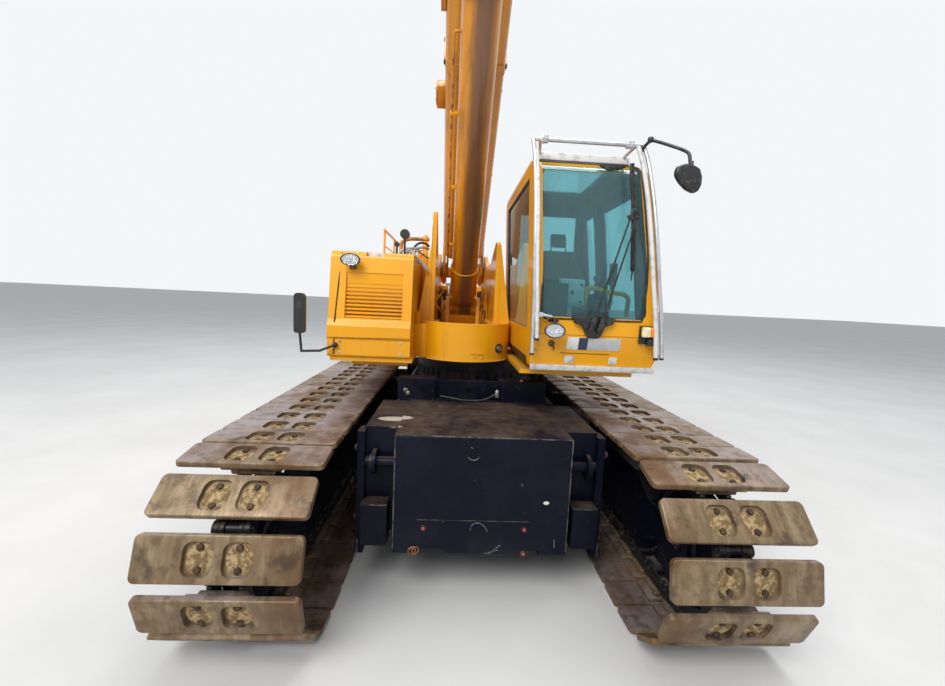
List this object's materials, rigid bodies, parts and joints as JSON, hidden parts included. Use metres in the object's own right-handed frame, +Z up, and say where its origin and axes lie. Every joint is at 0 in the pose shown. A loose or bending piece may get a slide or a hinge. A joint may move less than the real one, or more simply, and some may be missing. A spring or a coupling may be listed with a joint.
{
  "type": "telescopic crawler crane",
  "caption": "Crawler crane with a raised telescopic boom, tilting cab, luffing cylinder, winch, counterweight and two wide flat-shoe tracks.",
  "frame": {"origin": "on the ground, under the slewing axis", "axes": "+X to the side of the cab, -Y towards the front of the crane, +Z up"},
  "size_m": [3.86, 11.4579, 10.0558],
  "materials": {
    "undercarriage_paint": "near-black navy paint, dusty and oily",
    "shoe_steel": "bare worn steel with brown stains",
    "yellow_paint": "gloss warm yellow paint, lightly dusty",
    "boom_paint": "gloss warm yellow paint",
    "black_paint": "satin black",
    "machined_steel": "bare machined steel, greased",
    "rod_chrome": "hard chrome",
    "rail_silver": "satin silver tube",
    "cab_black": "black moulded plastic",
    "window": "green tinted safety glass",
    "seat_cloth": "dark woven seat cloth",
    "rope_steel": "greased steel wire rope"
  },
  "bodies": {
    "undercarriage": {"carbody": "undercarriage_paint", "slew_ring": "black_paint", "track_frame_left": "undercarriage_paint", "track_frame_right": "undercarriage_paint", "track_left": "shoe_steel", "track_right": "shoe_steel", "sprockets": "undercarriage_paint", "idlers": "undercarriage_paint", "front_ballast": "undercarriage_paint", "rear_ballast": "undercarriage_paint"},
    "upper": {"turntable": "yellow_paint", "side_housing": "yellow_paint", "housing_grille": "yellow_paint", "engine_hood": "yellow_paint", "engine_block": "black_paint", "tank_hood": "yellow_paint", "counterweight": "yellow_paint", "winch_frame": "yellow_paint", "handrails": "yellow_paint", "deck_mirror": "cab_black", "deck_lamps": "black_paint"},
    "winch_drum": {"hoist_drum": "machined_steel"},
    "cab": {"cab_floor": "black_paint", "cab_front": "yellow_paint", "cab_left_wall": "yellow_paint", "cab_right_wall": "yellow_paint", "cab_rear_wall": "yellow_paint", "cab_roof": "yellow_paint", "cab_glass": "window", "cab_guard": "rail_silver", "seat": "seat_cloth", "console": "cab_black", "cab_mirror": "cab_black", "wipers": "cab_black"},
    "door": {"cab_door": "yellow_paint", "door_glass": "window"},
    "luff_cylinder": {"luff_barrel": "yellow_paint"},
    "cylinder_rod": {"luff_rod": "rod_chrome"},
    "boom": {"boom_base": "boom_paint"},
    "section_1": {"tele_1": "boom_paint"},
    "section_2": {"tele_2": "boom_paint"},
    "section_3": {"tele_3": "boom_paint"},
    "section_4": {"tele_4": "boom_paint"},
    "section_5": {"tele_5": "boom_paint"},
    "sheave_set": {"head_sheaves": "machined_steel"},
    "block": {"hoist_falls": "rope_steel", "hook_block": "yellow_paint"},
    "hook": {"hook": "black_paint"}
  },
  "joints": [
    {"name": "slew", "type": "hinge", "parent": "undercarriage", "child": "upper", "pos_m": [0, 0, 1.575], "axis": [0, 0, 1], "continuous": true},
    {"name": "drum_turn", "type": "hinge", "parent": "upper", "child": "winch_drum", "pos_m": [-0.15, 2.8, 2.255], "axis": [1, 0, 0], "continuous": true},
    {"name": "cab_tilt", "type": "hinge", "parent": "upper", "child": "cab", "pos_m": [0.9, 0.128, 1.717], "axis": [-1, 0, 0], "range_deg": [0, 20]},
    {"name": "door_slide", "type": "slide", "parent": "cab", "child": "door", "axis": [0, 1, 0], "range_m": [0, 0.62]},
    {"name": "luff", "type": "hinge", "parent": "upper", "child": "boom", "pos_m": [-0.15, 1.65, 2.625], "axis": [-1, 0, 0], "range_deg": [-41.5, 44]},
    {"name": "cylinder_swing", "type": "hinge", "parent": "upper", "child": "luff_cylinder", "pos_m": [-0.15, 0.5, 2.145], "axis": [-1, 0, 0], "range_deg": [-46, 49]},
    {"name": "rod_extend", "type": "slide", "parent": "luff_cylinder", "child": "cylinder_rod", "axis": [0, -0.6867, 0.727], "range_m": [-0.75, 0.8]},
    {"name": "extend_1", "type": "slide", "parent": "boom", "child": "section_1", "axis": [0, -0.766, 0.6428], "range_m": [0, 8.1]},
    {"name": "extend_2", "type": "slide", "parent": "section_1", "child": "section_2", "axis": [0, -0.766, 0.6428], "range_m": [0, 8.1]},
    {"name": "extend_3", "type": "slide", "parent": "section_2", "child": "section_3", "axis": [0, -0.766, 0.6428], "range_m": [0, 8.1]},
    {"name": "extend_4", "type": "slide", "parent": "section_3", "child": "section_4", "axis": [0, -0.766, 0.6428], "range_m": [0, 8.1]},
    {"name": "extend_5", "type": "slide", "parent": "section_4", "child": "section_5", "axis": [0, -0.766, 0.6428], "range_m": [0, 8.1]},
    {"name": "sheave_turn", "type": "hinge", "parent": "section_5", "child": "sheave_set", "pos_m": [-0.15, -7.2414, 9.65499], "axis": [1, 0, 0], "continuous": true},
    {"name": "block_swing", "type": "hinge", "parent": "section_5", "child": "block", "pos_m": [-0.15, -7.2414, 9.65499], "axis": [-1, 0, 0], "range_deg": [-45, 43]},
    {"name": "hook_swivel", "type": "hinge", "parent": "block", "child": "hook", "pos_m": [-0.15, -7.2414, 8.32499], "axis": [0, 0, 1], "continuous": true}
  ],
  "couplings": [
    {"joint": "cylinder_swing", "follows": "luff", "ratio": 1.096},
    {"joint": "rod_extend", "follows": "luff", "m_per_rad": 1},
    {"joint": "block_swing", "follows": "luff", "ratio": -1}
  ]
}
